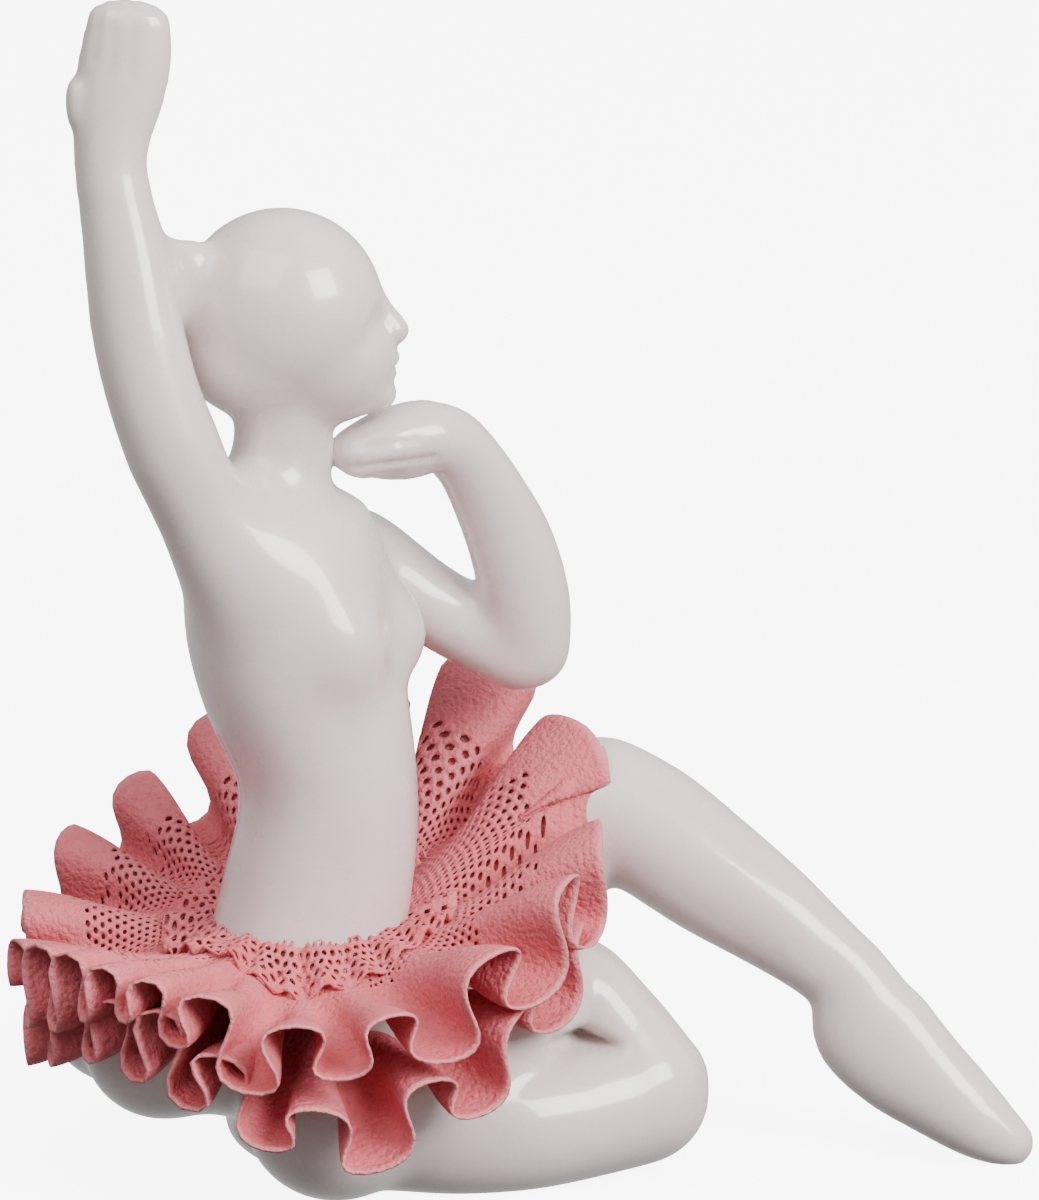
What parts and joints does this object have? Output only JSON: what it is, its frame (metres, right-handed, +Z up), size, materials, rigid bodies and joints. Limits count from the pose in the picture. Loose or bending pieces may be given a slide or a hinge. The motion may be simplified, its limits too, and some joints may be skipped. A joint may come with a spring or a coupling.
{
  "type": "ceramic ballerina figurine",
  "caption": "Seated dancer figurine in glossy white glazed ceramic, an arm raised and a leg stretched out, with a gathered tutu of coral-pink ceramic lace.",
  "frame": {"origin": "middle of the bounding box, on the surface she sits on", "axes": "+Z up, +X the way she faces and the raised leg points, -Y her right side, with the raised arm"},
  "size_m": [0.1446, 0.085, 0.1696],
  "materials": {
    "glaze": "glossy white glaze, very slightly warm",
    "lace": "matt coral-pink slip-dipped lace, fired"
  },
  "bodies": {
    "root": {"dancer": "glaze", "tutu_upper_ruffle": "lace", "tutu_lower_ruffle": "lace"}
  },
  "joints": []
}
